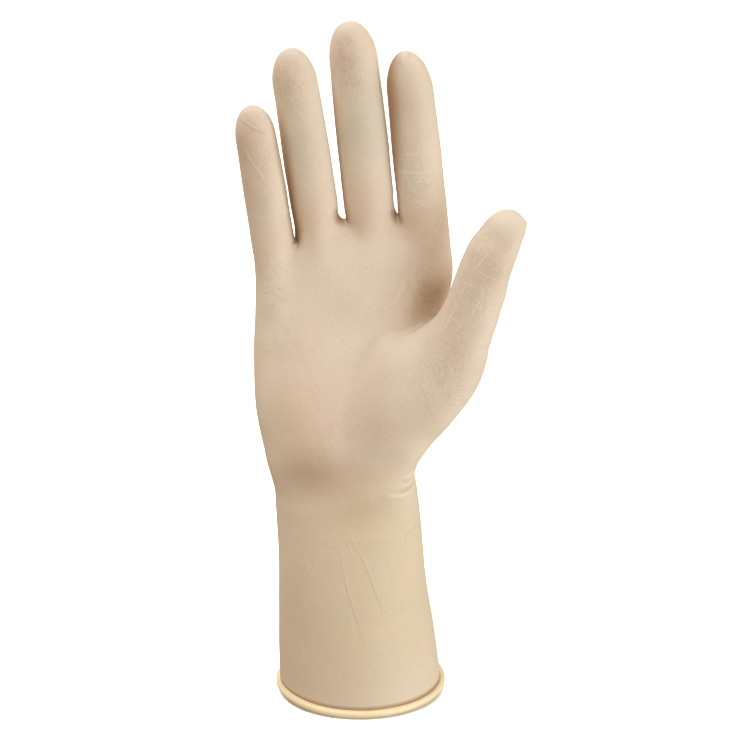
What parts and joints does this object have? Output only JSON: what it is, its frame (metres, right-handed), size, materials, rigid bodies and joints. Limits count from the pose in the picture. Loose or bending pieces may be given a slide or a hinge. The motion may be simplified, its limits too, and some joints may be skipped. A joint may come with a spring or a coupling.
{
  "type": "surgical glove",
  "caption": "Right-hand surgical glove of thin latex with a long cuff and a rolled bead, filled out to its full form and open at the cuff.",
  "frame": {"origin": "centre of the cuff's mouth, at the underside of the bead", "axes": "+Z along the cuff towards the fingertips, +X towards the thumb's side, -Y towards the palm's front"},
  "size_m": [0.1199, 0.0704, 0.2944],
  "materials": {
    "latex_film": "satin",
    "latex_bead": "satin"
  },
  "bodies": {
    "root": {"glove_film": "latex_film", "cuff_bead": "latex_bead"}
  },
  "joints": []
}
